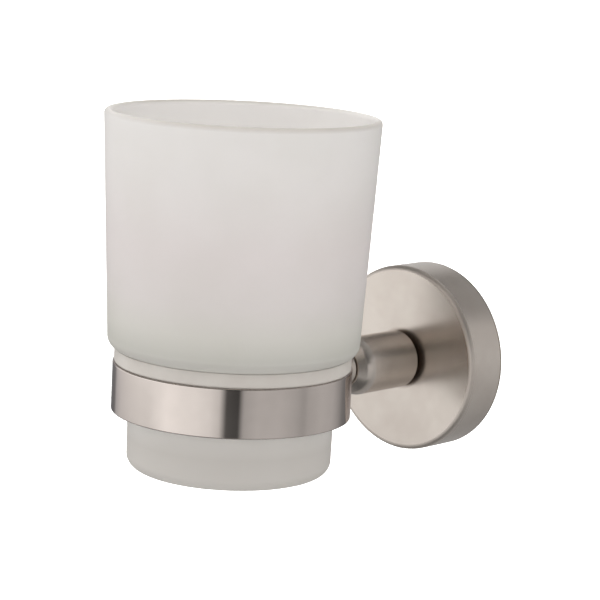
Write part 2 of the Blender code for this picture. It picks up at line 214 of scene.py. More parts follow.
def start_material(name, values):
    """A material with its shader's plain values set."""
    material = bpy.data.materials.new(name)
    material.use_nodes = True
    shader = material.node_tree.nodes["Principled BSDF"]
    for socket, value in values.items():
        shader.inputs[socket].default_value = value
    return material, material.node_tree, shader


def distance_from_axis(tree, place, across):
    """The part of a place that lies across an axis, and its length, the distance from it."""
    flat = add(tree, "ShaderNodeVectorMath", {0: place}, {1: across}, operation="MULTIPLY").outputs["Vector"]
    return flat, add(tree, "ShaderNodeVectorMath", {0: flat}, operation="LENGTH").outputs["Value"]


def ground_and_shade_share(tree, height, depth, flat):
    """How grey the tumbler's glass is drawn: ground grey on the rim and just below it outside, with
    painted shade that makes it greyest on two opposite sides and less than half as grey between them."""
    rim = add(tree, "ShaderNodeMapRange", {"Value": height}, {
        "From Min": rim_height - 1.2 * mm, "From Max": rim_height - 0.3 * mm,
    }).outputs["Result"]
    outer = add(tree, "ShaderNodeMapRange", {"Value": depth}, {
        "From Min": 0.1 * mm, "From Max": -0.1 * mm, "To Max": 0.9,
    }).outputs["Result"]
    below = add(tree, "ShaderNodeMapRange", {"Value": height}, {
        "From Min": rim_height - 1.4 * mm, "From Max": rim_height - 0.5 * mm,
    }).outputs["Result"]
    fade = add(tree, "ShaderNodeMath", {0: outer, 1: below}, operation="MULTIPLY").outputs["Value"]
    both = add(tree, "ShaderNodeMath", {0: rim, 1: fade}, operation="MAXIMUM").outputs["Value"]
    # Painted shade: the rim is drawn greyer on the two sides along this direction
    shaded_side = (0.87, -0.5, 0)
    across = add(tree, "ShaderNodeVectorMath", {0: flat}, {1: shaded_side}, operation="DOT_PRODUCT")
    far = add(tree, "ShaderNodeMath", {0: across.outputs["Value"]}, operation="ABSOLUTE").outputs["Value"]
    uneven = add(tree, "ShaderNodeMapRange", {"Value": far}, {
        "From Min": 0.2 * rim_radius, "From Max": 0.85 * rim_radius, "To Min": 0.45,
    }).outputs["Result"]
    return add(tree, "ShaderNodeMath", {0: both, 1: uneven}, operation="MULTIPLY").outputs["Value"]


def make_frosted_glass():
    """Acid-etched soda-lime glass: a matte, milky skin that lets blurred light through.

    The colour is painted by height: painted shade makes the foot and the band under the
    shoulder darker, a painted band of light lies just below the ring, and the walls grow lighter
    towards the rim. Painted light makes the inside whiter, as if the walls lit each other. The
    ground rim is grey, and painted shade makes it greyer on two opposite sides than between them.
    """
    material, tree, shader = start_material("acid_etched_glass", {"IOR": 1.5, "Transmission Weight": 0.3})
    place = add(tree, "ShaderNodeTexCoord").outputs["Object"]
    height = add(tree, "ShaderNodeSeparateXYZ", {"Vector": place}).outputs["Z"]
    share = add(tree, "ShaderNodeMapRange", {"Value": height}, {
        "From Min": base_height, "From Max": rim_height,
    }).outputs["Result"]
    # Painted shade and light by height: darkest under the shoulder, dark on the foot, a lighter band just
    # below the ring, lightest towards the rim
    body = add(tree, "ShaderNodeValToRGB", {"Fac": share})
    set_stops(body, [(stop, tone(code)) for stop, code in (
        (0.03, "#D1CCC6"), (0.09, "#D5D0CA"), (0.14, "#EAE6E1"), (0.2, "#EAE6E1"), (0.31, "#DFDCD5"),
        (0.355, "#CDCAC3"), (0.38, "#CAC8C0"), (0.435, "#D6D3CC"), (0.52, "#DDD7D4"), (0.66, "#E2DBD9"),
        (0.85, "#E7E3E0"), (1.0, "#EBE8E5"),
    )])

    # Faint clouds in the glass, 18 mm across
    cloud = add(tree, "ShaderNodeTexNoise", {"Vector": place}, {"Scale": 1 / (18 * mm), "Detail": 2.0})
    tint = add(tree, "ShaderNodeValToRGB", {"Fac": cloud.outputs["Fac"]})
    set_stops(tint, ((0.35, tone("#FCFCFB")), (0.65, (1, 1, 1, 1))))
    etched = add(
        tree, "ShaderNodeMix", {6: body.outputs["Color"], 7: tint.outputs["Color"]}, {0: 1.0},
        data_type="RGBA", blend_type="MULTIPLY",
    )

    # Painted light makes the inside whiter, as if the walls lit each other: the depth is counted inwards from
    # the middle of the wall
    shoulder_height = seat_height(shoulder_radius)
    middle = add(tree, "ShaderNodeMapRange", {"Value": height}, {
        "From Min": shoulder_height, "From Max": rim_height,
        "To Min": shoulder_radius - rim_wall / 2, "To Max": rim_radius - rim_wall / 2,
    }).outputs["Result"]
    away = add(tree, "ShaderNodeVectorMath", {0: place}, {1: tumbler_axis}, operation="SUBTRACT")
    flat, radius = distance_from_axis(tree, away.outputs["Vector"], (1, 1, 0))
    depth = add(tree, "ShaderNodeMath", {0: middle, 1: radius}, operation="SUBTRACT").outputs["Value"]
    inside = add(tree, "ShaderNodeMapRange", {"Value": depth}, {
        "From Min": -0.1 * mm, "From Max": 0.1 * mm,
    }).outputs["Result"]
    tall = add(tree, "ShaderNodeMapRange", {"Value": height}, {
        "From Min": shoulder_height + 1 * mm, "From Max": shoulder_height + 10 * mm,
    }).outputs["Result"]
    plain = add(tree, "ShaderNodeMath", {0: inside, 1: tall}, operation="MULTIPLY").outputs["Value"]
    # Painted light: the inside walls take a whiter tone
    skin = add(tree, "ShaderNodeMix", {0: plain, 6: etched.outputs[2]}, {
        7: tone("#FEFBF8"),
    }, data_type="RGBA")

    # Ground grey rim #BCB6AF, with painted shade on two opposite sides
    ground = ground_and_shade_share(tree, height, depth, flat)
    colour = add(tree, "ShaderNodeMix", {0: ground, 6: skin.outputs[2]}, {
        7: tone("#BCB6AF"),
    }, data_type="RGBA")
    tree.links.new(colour.outputs[2], shader.inputs["Base Color"])

    # Real etching pits are a few hundredths of a millimetre wide, too fine for the picture
    etch_grain = 0.35 * mm
    etch = add(tree, "ShaderNodeTexNoise", {"Vector": place}, {"Scale": 1 / etch_grain, "Detail": 3.0})
    matte = add(tree, "ShaderNodeMapRange", {"Value": etch.outputs["Fac"]}, {"To Min": 0.5, "To Max": 0.66})
    tree.links.new(matte.outputs["Result"], shader.inputs["Roughness"])
    bump = add(tree, "ShaderNodeBump", {"Height": etch.outputs["Fac"]}, {
        "Strength": 0.15, "Distance": 0.02 * mm,
    })
    tree.links.new(bump.outputs["Normal"], shader.inputs["Normal"])
    return material


def make_turned_metal(name, tones, roughness, spread, grain, axis, centre, edge="#FFFFFF", streak=0.7):
    """A metal turned and brushed round that axis: fine lines run round it, and what it
    mirrors is smeared across them. The edge is its tone where it turns away from the eye."""
    material, tree, shader = start_material(name, {
        "Metallic": 1.0, "Anisotropic": streak, "Anisotropic Rotation": 0.25, "Specular Tint": tone(edge),
    })
    spot = add(tree, "ShaderNodeTexCoord").outputs["Object"]
    away = add(tree, "ShaderNodeVectorMath", {0: spot}, {1: centre}, operation="SUBTRACT").outputs["Vector"]
    turn = add(tree, "ShaderNodeVectorMath", {1: away}, {0: axis}, operation="CROSS_PRODUCT")
    turn = turn.outputs["Vector"]
    radius = add(tree, "ShaderNodeVectorMath", {0: turn}, operation="LENGTH").outputs["Value"]
    height = add(tree, "ShaderNodeVectorMath", {0: away}, {1: axis}, operation="DOT_PRODUCT").outputs["Value"]
    across = add(tree, "ShaderNodeMath", {0: height, 1: radius}, operation="ADD").outputs["Value"]

    # The brush lines are 14 times as long as they are wide
    stretch = 14.0
    fine = add(tree, "ShaderNodeMath", {0: across}, {1: stretch}, operation="MULTIPLY").outputs["Value"]
    rise = add(tree, "ShaderNodeVectorMath", {"Scale": fine}, {0: axis}, operation="SCALE").outputs["Vector"]
    lines = add(tree, "ShaderNodeVectorMath", {0: turn, 1: rise}, operation="ADD").outputs["Vector"]
    brush = add(tree, "ShaderNodeTexNoise", {"Vector": lines}, {
        "Scale": 1 / (grain * stretch), "Detail": 4.0,
    })

    # Faint smudges, 9 mm across
    smudge = add(tree, "ShaderNodeTexNoise", {"Vector": spot}, {"Scale": 1 / (9 * mm), "Detail": 2.0})
    colour = add(tree, "ShaderNodeValToRGB", {"Fac": smudge.outputs["Fac"]})
    set_stops(colour, ((0.3, tone(tones[0])), (0.7, tone(tones[1]))))
    tree.links.new(colour.outputs["Color"], shader.inputs["Base Color"])
    both = add(tree, "ShaderNodeMix", {2: brush.outputs["Fac"], 3: smudge.outputs["Fac"]}, {0: 0.4})
    rough = add(tree, "ShaderNodeMapRange", {"Value": both.outputs[0]}, {
        "From Min": 0.3, "From Max": 0.7, "To Min": roughness - spread, "To Max": roughness + spread,
    })
    tree.links.new(rough.outputs["Result"], shader.inputs["Roughness"])
    bump = add(tree, "ShaderNodeBump", {"Height": brush.outputs["Fac"]}, {
        "Strength": 0.05, "Distance": 0.01 * mm,
    })
    tree.links.new(bump.outputs["Normal"], shader.inputs["Normal"])
    tangent = add(tree, "ShaderNodeVectorMath", {0: turn}, operation="NORMALIZE").outputs["Vector"]
    tree.links.new(tangent, shader.inputs["Tangent"])
    return material


def find_place_on_arm_axis(tree):
    """A point's depth along Y, which is minus its distance from the wall, and its distance
    from the arm's axis."""
    spot = add(tree, "ShaderNodeTexCoord").outputs["Object"]
    depth = add(tree, "ShaderNodeSeparateXYZ", {"Vector": spot}).outputs["Y"]
    radius = distance_from_axis(tree, spot, (1, 0, 1))[1]
    return depth, radius


def paint_shade_and_dark_edge(material):
    """Painted shade in and around the shadow groove at the arm's foot, on the arm and on the
    rose's face round it, and a darker band along the rose's back edge next to the wall: both are
    a dull brown, which the groove's own shade turns almost black."""
    tree = material.node_tree
    shader = tree.nodes["Principled BSDF"]
    unshaded = shader.inputs["Base Color"].links[0].from_socket
    depth, radius = find_place_on_arm_axis(tree)
    # Painted shade in the groove and on the rose's face just round the arm
    groove_end = -arm_back - arm_groove_length
    groove = add(tree, "ShaderNodeMapRange", {"Value": depth}, {
        "From Min": groove_end - 0.05 * mm, "From Max": groove_end + 0.05 * mm,
    }).outputs["Result"]
    near = add(tree, "ShaderNodeMapRange", {"Value": radius}, {
        "From Min": arm_radius + 0.9 * mm, "From Max": arm_radius - 1.4 * mm,
    }).outputs["Result"]
    root = add(tree, "ShaderNodeMath", {0: groove, 1: near}, operation="MULTIPLY").outputs["Value"]
    # The rose is drawn darker in its last 0.55 mm at the wall
    back = add(tree, "ShaderNodeMapRange", {"Value": depth}, {
        "From Min": -0.75 * mm, "From Max": -0.55 * mm, "To Max": 0.6,
    }).outputs["Result"]
    dark = add(tree, "ShaderNodeMath", {0: root, 1: back}, operation="MAXIMUM").outputs["Value"]
    # Dull brown of the painted groove shade and of the darker back edge
    colour = add(tree, "ShaderNodeMix", {0: dark, 6: unshaded}, {7: tone("#7C6B5D")}, data_type="RGBA")
    tree.links.new(colour.outputs[2], shader.inputs["Base Color"])


def rub_rose_edge(material):
    """The rose's rounded front edge is rubbed down by hand: it mirrors less sharply."""
    tree = material.node_tree
    shader = tree.nodes["Principled BSDF"]
    brushed = shader.inputs["Roughness"].links[0].from_socket
    depth, radius = find_place_on_arm_axis(tree)
    wide = add(tree, "ShaderNodeMapRange", {"Value": radius}, {
        "From Min": rose_radius - rose_edge - 0.1 * mm, "From Max": rose_radius - rose_edge + 0.2 * mm,
    }).outputs["Result"]
    front = add(tree, "ShaderNodeMapRange", {"Value": depth}, {
        "From Min": rose_edge - rose_depth + 0.1 * mm, "From Max": rose_edge - rose_depth - 0.2 * mm,
    }).outputs["Result"]
    edge = add(tree, "ShaderNodeMath", {0: wide, 1: front}, operation="MULTIPLY").outputs["Value"]
    rubbed = 0.42
    rough = add(tree, "ShaderNodeMix", {0: edge, 2: brushed}, {3: rubbed})
    tree.links.new(rough.outputs[0], shader.inputs["Roughness"])


def make_moulded(name, tones, grain, values):
    """A moulding or casting: an even fine skin, with clouds of tone 6 mm across."""
    material, tree, shader = start_material(name, values)
    spot = add(tree, "ShaderNodeTexCoord").outputs["Object"]
    cloud = add(tree, "ShaderNodeTexNoise", {"Vector": spot}, {"Scale": 1 / (6 * mm), "Detail": 3.0})
    colour = add(tree, "ShaderNodeValToRGB", {"Fac": cloud.outputs["Fac"]})
    set_stops(colour, ((0.35, tone(tones[0])), (0.65, tone(tones[1]))))
    tree.links.new(colour.outputs["Color"], shader.inputs["Base Color"])
    skin = add(tree, "ShaderNodeTexNoise", {"Vector": spot}, {"Scale": 1 / grain, "Detail": 4.0})
    roughness = values["Roughness"]
    spread = 0.08
    rough = add(tree, "ShaderNodeMapRange", {"Value": skin.outputs["Fac"]}, {
        "From Min": 0.3, "From Max": 0.7, "To Min": roughness - spread, "To Max": roughness + spread,
    })
    tree.links.new(rough.outputs["Result"], shader.inputs["Roughness"])
    bump = add(tree, "ShaderNodeBump", {"Height": skin.outputs["Fac"]}, {
        "Strength": 0.25, "Distance": 0.05 * mm,
    })
    tree.links.new(bump.outputs["Normal"], shader.inputs["Normal"])
    return material


def round_corner(shape, vert, bend):
    """Rounds one corner of an outline with an arc of that radius."""
    sides = [edge.other_vert(vert).co - vert.co for edge in vert.link_edges]
    reach = bend / math.tan(sides[0].angle(sides[1]) / 2)
    room = min(side.length for side in sides)
    bmesh.ops.bevel(
        shape,
        geom=[vert],
        affect="VERTICES",
        offset=min(reach, room * 0.98),
        offset_type="OFFSET",
        segments=max(edge_steps, round(bend / bend_step)),
        profile=0.5,
        material=-1,
    )


def hold_edges(shape):
    """Splits each long side near its ends, so that shading stays flat between the bends."""
    for edge in shape.edges[:]:
        if edge.calc_length() > 6 * hold:
            start, end = edge.verts
            made, _ = bmesh.utils.edge_split(edge, start, hold / edge.calc_length())
            rest = edge if end in edge.verts else made
            bmesh.utils.edge_split(rest, end, hold / rest.calc_length())


def spin_round(shape, steps):
    """Turns an outline once round Z and closes the seam."""
    bmesh.ops.spin(
        shape,
        geom=shape.verts[:] + shape.edges[:],
        cent=(0, 0, 0),
        axis=upright,
        angle=math.tau,
        steps=steps,
        use_merge=True,
    )
    bmesh.ops.remove_doubles(shape, verts=shape.verts[:], dist=merge_distance)
    bmesh.ops.recalc_face_normals(shape, faces=shape.faces[:])


def turned(corners, steps, closed=True):
    """A shape turned round Z. A corner is (radius, height) or (radius, height, rounding)."""
    shape = bmesh.new()
    verts = [shape.verts.new((corner[0], 0, corner[1])) for corner in corners]
    pairs = list(zip(verts, verts[1:] + verts[:1]))
    for first, second in pairs if closed else pairs[:-1]:
        shape.edges.new((first, second))
    for vert, corner in zip(verts, corners):
        if len(corner) > 2:
            round_corner(shape, vert, corner[2])
    hold_edges(shape)
    spin_round(shape, steps)
    return shape


def pin(radius, low, high, steps=small_round):
    """A plain round shank or cutter, upright on Z."""
    return turned([(0, low), (radius, low), (radius, high), (0, high)], steps, closed=False)


def box(width, depth, low, high):
    """A plain square cutter, upright on Z."""
    shape = bmesh.new()
    bmesh.ops.create_cube(shape, size=1)
    bmesh.ops.scale(shape, vec=(width, depth, high - low), verts=shape.verts[:])
    bmesh.ops.translate(shape, vec=(0, 0, (high + low) / 2), verts=shape.verts[:])
    return shape


def slot(travel, radius, low, high):
    """A cutter for a slot along X: two round ends and the straight run between them."""
    shape = pin(radius, low, high)
    right = [vert for vert in shape.verts if vert.co.x > radius * 0.001]
    left = [vert for vert in shape.verts if vert.co.x < -radius * 0.001]
    bmesh.ops.translate(shape, vec=(travel / 2, 0, 0), verts=right)
    bmesh.ops.translate(shape, vec=(-travel / 2, 0, 0), verts=left)
    return shape


def hexagon(flats, low, high):
    """A cutter for a hex socket, upright on Z."""
    shape = bmesh.new()
    radius = flats / math.sqrt(3)
    bmesh.ops.create_cone(
        shape, cap_ends=True, segments=6, radius1=radius, radius2=radius, depth=high - low
    )
    bmesh.ops.translate(shape, vec=(0, 0, (high + low) / 2), verts=shape.verts[:])
    return shape


def moved(shape, place):
    """The same shape, moved to a place."""
    bmesh.ops.transform(shape, matrix=place, verts=shape.verts[:])
    return shape


def offset_pin(radius, offset, low, high):
    """A round cutter beside the Z axis, for a dowel's hole."""
    return moved(pin(radius, low, high), Matrix.Translation((0, offset, 0)))


def hold_shape(name, shape):
    """A passing object with that shape, for a cut."""
    mesh = bpy.data.meshes.new(name)
    shape.to_mesh(mesh)
    shape.free()
    item = bpy.data.objects.new(name, mesh)
    bpy.context.scene.collection.objects.link(item)
    return item


def drilled(shape, *cutters):
    """The shape with the cutters' shapes taken out of it."""
    item = hold_shape("blank", shape)
    tools = [hold_shape("cutter", cutter) for cutter in cutters]
    for tool in tools:
        cut = item.modifiers.new("cut", "BOOLEAN")
        cut.operation = "DIFFERENCE"
        cut.solver = "EXACT"
        cut.object = tool
    bpy.context.view_layer.update()
    result = bmesh.new()
    result.from_object(item, bpy.context.evaluated_depsgraph_get())
    for used in (item, *tools):
        mesh = used.data
        bpy.data.objects.remove(used)
        bpy.data.meshes.remove(mesh)
    bmesh.ops.remove_doubles(result, verts=result.verts[:], dist=cut_merge_distance)
    return result


def threaded(core, crest, pitch, low, high):
    """A screw's threaded length: one turn's outline, wound up Z and cut square at both ends."""
    shape = bmesh.new()
    start = low - pitch
    turns = math.ceil((high - low) / pitch) + 2
    outline = ((core, 0), (core, 0.15), (crest, 0.5), (crest, 0.6), (core, 0.95), (core, 1))
    verts = [shape.verts.new((radius, 0, start + share * pitch)) for radius, share in outline]
    for first, second in zip(verts, verts[1:]):
        shape.edges.new((first, second))
    bmesh.ops.spin(
        shape,
        geom=shape.verts[:] + shape.edges[:],
        cent=(0, 0, 0),
        axis=upright,
        dvec=(0, 0, pitch / thread_round),
        angle=math.tau * turns,
        steps=turns * thread_round,
    )
    bmesh.ops.remove_doubles(shape, verts=shape.verts[:], dist=merge_distance)
    for height, side in ((low, -1), (high, 1)):
        bmesh.ops.bisect_plane(
            shape,
            geom=shape.verts[:] + shape.edges[:] + shape.faces[:],
            plane_co=(0, 0, height),
            plane_no=(0, 0, side),
            clear_outer=True,
        )
    bmesh.ops.holes_fill(shape, edges=[edge for edge in shape.edges if edge.is_boundary], sides=0)
    bmesh.ops.recalc_face_normals(shape, faces=shape.faces[:])
    return shape


def merged(*shapes):
    """One shape of several that touch or overlap, each kept whole."""
    result = bmesh.new()
    for shape in shapes:
        mesh = bpy.data.meshes.new("part")
        shape.to_mesh(mesh)
        shape.free()
        result.from_mesh(mesh)
        bpy.data.meshes.remove(mesh)
    return result


def finish_piece(name, shape, place, material, body, node):
    """Makes the piece's object at its place, lets it ride and names what it stands for."""
    mesh = bpy.data.meshes.new(name)
    shape.to_mesh(mesh)
    shape.free()
    mesh.transform(place)
    mesh.shade_smooth()
    mesh.set_sharp_from_angle(angle=crease)
    mesh.materials.append(material)
    piece = bpy.data.objects.new(name, mesh)
    bpy.context.scene.collection.objects.link(piece)
    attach(piece, body)
    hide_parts(node)


def seat_height(radius):
    """Height of the tumbler's sloping underside at a radius."""
    return liner_top + fit_gap / math.cos(seat_slope) + (radius - seat_radius) * math.tan(seat_slope)


def make_tumbler(material):
    """The glass, thick at the foot, with a low kick in its base and a rim rounded like a lip."""
    inner_shoulder = shoulder_radius - rim_wall
    inner_foot = foot_top_radius - foot_wall
    skin = shoulder_wall / math.cos(seat_slope)
    kick_bend = 2 * mm
    foot_bend = 3.5 * mm
    waist_bend = 0.8 * mm
    shoulder_bend = 3.1 * mm
    inner_shoulder_bend = 2.5 * mm
    inner_waist_bend = 2 * mm
    inner_foot_bend = 4 * mm
    corners = [
        (0, base_height + kick_depth),
        (kick_radius - kick_bend, base_height + kick_depth, kick_bend),
        (kick_radius, base_height, kick_bend),
        (base_radius, base_height, foot_bend),
        (foot_top_radius, seat_height(foot_top_radius), waist_bend),
        (shoulder_radius, seat_height(shoulder_radius), shoulder_bend),
        (rim_radius, rim_height, rim_wall / 2),
        (rim_radius - rim_wall, rim_height, rim_wall / 2),
        (inner_shoulder, seat_height(inner_shoulder) + skin, inner_shoulder_bend),
        (inner_foot, seat_height(inner_foot) + skin, inner_waist_bend),
        (base_radius - foot_wall, base_height + floor_thickness, inner_foot_bend),
        (0, base_height + floor_thickness),
    ]
    shape = turned(corners, big_round, closed=False)
    finish_piece("frosted_tumbler", shape, tumbler_place, material, "tumbler", "tumbler")


def make_liner(material):
    """The liner: a flange whose sloping top carries the glass, and a sleeve down the ring's bore.
    Being soft, it nearly fills the gap to the glass above it and to the ring below."""
    squeeze = 0.28 * mm
    flange_edge = 0.12 * mm
    under_edge = 0.05 * mm
    bore_edge = 0.3 * mm
    top = liner_top + squeeze
    under = liner_under - squeeze
    bottom = ring_edge - ring_half
    lead_in = 0.4 * mm
    outer_rise = (liner_flange_radius - seat_radius) * math.tan(seat_slope)
    bore_drop = (seat_radius - liner_bore) * math.tan(seat_slope)
    corners = [
        (seat_radius, top, eased_edge),
        (liner_flange_radius, top + outer_rise, flange_edge),
        (liner_flange_radius, under + lead_in, eased_edge),
        (liner_flange_radius - lead_in / 2, under, under_edge),
        (liner_sleeve_radius, under),
        (liner_sleeve_radius, bottom + lead_in, cut_edge),
        (liner_sleeve_radius - lead_in, bottom, cut_edge),
        (liner_bore, bottom, bore_edge),
        (liner_bore, top - bore_drop, bore_edge),
    ]
    shape = turned(corners, big_round)
    finish_piece("drop_in_liner", shape, tumbler_place, material, "liner", "ring_liner")


def make_ring(material):
    """The polished band round the liner."""
    inner = ring_radius - ring_wall
    corners = [
        (ring_radius, -ring_half, ring_edge),
        (ring_radius, ring_half, ring_edge),
        (inner, ring_half, ring_edge),
        (inner, -ring_half, ring_edge),
    ]
    shape = turned(corners, big_round)
    finish_piece("polished_ring", shape, tumbler_place, material, "holder", "ring_band")


def make_neck(material):
    """Stub brazed to the ring: its front end follows the ring, with a small fillet of braze."""
    front = ring_reach - ring_radius
    bead = 0.6 * mm
    corners = [
        (screw_hole_radius, neck_back),
        (neck_radius, neck_back, turned_edge),
        (neck_radius, front - bead),
        (neck_radius + 0.15 * bead, front - 0.4 * bead),
        (neck_radius + bead, front),
        (neck_radius, front),
        (neck_radius / 2, front),
        (0, front),
        (0, neck_hole_end),
        (screw_hole_radius, neck_hole_end),
    ]
    shape = turned(corners, arm_round)
    for vert in shape.verts:
        if vert.co.z > front - bead * 1.01:
            vert.co.z += ring_radius - math.sqrt(ring_radius ** 2 - vert.co.x ** 2)
    hole_end = neck_back + neck_dowel_depth
    shape = drilled(shape, offset_pin(neck_dowel_hole, neck_dowel_offset, neck_back - overrun, hole_end))
    finish_piece("brazed_neck", shape, arm_place, material, "holder", "ring_neck")


def make_arm(material):
    """The sleeve with its shadow groove at the rose and its nose at the ring."""
    groove_end = arm_back + arm_groove_length
    tip_edge = 0.12 * mm
    corners = [
        (screw_hole_radius, arm_back),
        (arm_groove_radius, arm_back),
        (arm_groove_radius, groove_end),
        (arm_radius, groove_end, turned_edge),
        (arm_radius, arm_reach - nose_length, nose_bend),
        (nose_radius, arm_reach, tip_edge),
        (screw_hole_radius, arm_reach),
    ]
    back_end = arm_back + arm_dowel_depth
    back_hole = offset_pin(arm_dowel_hole, arm_dowel_offset, arm_back - overrun, back_end)
    front_start = arm_reach - nose_dowel_depth
    front_hole = offset_pin(neck_dowel_hole, neck_dowel_offset, front_start, arm_reach + overrun)
    shape = drilled(turned(corners, arm_round), back_hole, front_hole)
    finish_piece("turned_arm", shape, arm_place, material, "holder", "arm")


def make_rose(material):
    """The cup on the wall, with holes for the clamp screw, the dowel and the set screw."""
    inner_face = rose_depth - rose_face
    inner_radius = rose_radius - rose_wall
    inner_bend = 1.0 * mm
    corners = [
        (rose_radius, 0, eased_edge),
        (rose_radius, rose_depth, rose_edge),
        (screw_hole_radius, rose_depth),
        (screw_hole_radius, inner_face),
        (inner_radius, inner_face, inner_bend),
        (inner_radius, 0, eased_edge),
    ]
    dowel_hole = offset_pin(arm_dowel_hole, arm_dowel_offset, inner_face - overrun, rose_depth + overrun)
    side_hole = moved(pin(set_hole_radius, inner_radius - rose_wall, rose_radius + overrun), downward)
    shape = drilled(turned(corners, big_round), dowel_hole, side_hole)
    finish_piece("satin_rose", shape, arm_place, material, "holder", "rose_cover")


def make_set_screw(material):
    """The hex-socket screw in the rose's underside, with its cone in the bracket's groove."""
    sunk = 0.3 * mm
    groove_gap = 0.8 * mm
    flat_radius = 0.5 * mm
    socket_depth = 1.5 * mm
    outer = rose_radius - sunk
    tip = bracket_radius - groove_depth + groove_gap
    cone_end = tip + set_point
    cone = [(0, tip), (flat_radius, tip), (set_core, cone_end), (0, cone_end)]
    point = turned(cone, thread_round, closed=False)
    body = threaded(set_core, m4_radius, m4_pitch, cone_end, outer)
    body = drilled(body, hexagon(set_socket, outer - socket_depth, outer + overrun))
    place = arm_place @ downward
    finish_piece("set_screw_m4", merged(point, body), place, material, "holder", "set_screw")


def make_clamp_screw(material):
    """The hex-socket screw from inside the rose, through the arm and into the neck."""
    head_high = rose_depth - rose_face - fit_gap - washer_thickness - fit_gap
    head_low = head_high - clamp_head_height
    hole_rest = 0.6 * mm
    plain_rest = 2 * mm
    head_bend = 0.9 * mm
    socket_depth = 1.3 * mm
    tip = neck_hole_end - hole_rest
    thread_start = neck_back - plain_rest
    head = turned([
        (0, head_low),
        (clamp_head_radius, head_low, head_bend),
        (clamp_head_radius, head_high, eased_edge),
        (0, head_high),
    ], small_round, closed=False)
    head = drilled(head, hexagon(clamp_socket, head_low - overrun, head_low + socket_depth))
    shank = pin(m4_radius, head_high, thread_start, thread_round)
    thread = threaded(clamp_core, m4_radius, m4_pitch, thread_start, tip)
    shape = merged(head, shank, thread)
    finish_piece("clamp_screw_m4", shape, arm_place, material, "holder", "clamp_screw")


def make_bracket(material):
    """The die-cast puck under the rose. In its back, two round recesses hold the plugs'
    collars. They are cut before the slots and in steps of their own, because flats that
    nearly coincide would leave slivers."""
    corners = [
        (0, 0),
        (bracket_radius, 0, cast_edge),
        (bracket_radius, groove_distance - groove_half_width, cut_edge),
        (bracket_radius - groove_depth, groove_distance, cut_edge),
        (bracket_radius, groove_distance + groove_half_width, cut_edge),
        (bracket_radius, bracket_depth, cast_edge),
        (pocket_radius, bracket_depth, cast_edge / 2),
        (pocket_radius, pocket_floor, cast_edge),
        (0, pocket_floor),
    ]
    cutters = []
    for side in (1, -1):
        spot = Matrix.Translation((0, side * screw_offset, 0))
        cutters.append(moved(pin(collar_bore_radius, -overrun, collar_bore_depth, bore_round), spot))
        if side < 0:
            spot = spot @ Matrix.Rotation(math.pi / 2, 4, "Z")
        cutters.append(moved(slot(slot_travel, slot_radius, -overrun, bracket_depth), spot))
        head_slot = slot(slot_travel, head_slot_radius, head_slot_floor, bracket_depth + overrun)
        cutters.append(moved(head_slot, spot))
    shape = drilled(turned(corners, big_round, closed=False), *cutters)
    finish_piece("cast_bracket", shape, arm_place, material, "holder", "wall_bracket")


def make_wall_screw(label, spot, material):
    """A pan-head wood screw with a cross recess."""
    head_high = wall_head_low + wall_head_height
    head_bend = 1.0 * mm
    cross_length = 3.6 * mm
    cross_width = 0.9 * mm
    cross_depth = 1.3 * mm
    tip = wall_head_low - wall_screw_length
    cone_end = tip + wall_point
    head = turned([
        (0, wall_head_low),
        (wall_head_radius, wall_head_low, eased_edge),
        (wall_head_radius, head_high, head_bend),
        (0, head_high),
    ], small_round, closed=False)
    cross_low = head_high - cross_depth
    arms = [box(cross_length, cross_width, cross_low, head_high + overrun) for _ in range(2)]
    moved(arms[1], Matrix.Rotation(math.pi / 2, 4, "Z"))
    head = drilled(head, *arms)
    thread = threaded(wall_core, wall_crest, wall_pitch, cone_end, wall_head_low)
    point = turned([(0, tip), (wall_core, cone_end), (0, cone_end)], thread_round, closed=False)
    name = f"wall_screw_{label}"
    shape = merged(head, thread, point)
    finish_piece(f"{name}_threaded", shape, spot, material, "holder", name)


def make_wall_plug(label, spot, material):
    """The plug that the screw grips: a collar, saw-tooth fins and a slit that lets it spread."""
    collar_bend = 0.2 * mm
    fin_start = -4.0 * mm
    fin_pitch = 1.9 * mm
    fins = 7
    fin_root = 2.55 * mm
    fin_step = 0.25 * mm
    fin_share = 0.85
    end_radius = 2.4 * mm
    slit_width = 0.8 * mm
    slit_reach = 10 * mm
    slit_length = 13 * mm
    corners = [
        (plug_bore, plug_collar_height, cut_edge),
        (plug_collar_radius, plug_collar_height, collar_bend),
        (plug_collar_radius, 0, cut_edge),
        (plug_radius, 0),
        (plug_radius, fin_start),
    ]
    for i in range(fins):
        top = fin_start - i * fin_pitch
        corners += [(fin_root, top - fin_step), (plug_radius, top - fin_pitch * fin_share)]
    corners += [
        (end_radius, plug_end, cut_edge),
        (plug_bore, plug_end),
    ]
    slit = box(slit_width, slit_reach, plug_end - overrun, plug_end + slit_length)
    shape = drilled(turned(corners, small_round), slit)
    name = f"wall_plug_{label}"
    finish_piece(f"{name}_ribbed", shape, spot, material, "holder", name)


# Etched glass looks soft and milky, and mirrors nothing sharply
glass = make_frosted_glass()

# Polished nickel mirrors the room almost sharply. Its polishing lines, really a few hundredths
# of a millimetre wide, are drawn 0.4 mm wide, so that they show as a faint streak.
ring_steel = make_turned_metal(
    "polished_nickel_on_steel", ("#D6CCC5", "#DDD3CC"), roughness=0.09, spread=0.02, grain=0.4 * mm,
    axis=upright, centre=tumbler_axis, edge="#C2C2C6",
)

# Satin nickel, brushed on the lathe, has a warm, soft sheen. Its lines, really under 0.1 mm
# wide, are drawn 0.18 mm wide, just below a pixel of the picture.
satin_steel = make_turned_metal(
    "satin_nickel_on_brass", ("#D0C6BD", "#D8CFC6"), roughness=0.25, spread=0.02, grain=0.18 * mm,
    axis=off_the_wall, centre=(0, 0, 0), streak=0.65,
)
paint_shade_and_dark_edge(satin_steel)
rub_rose_edge(satin_steel)

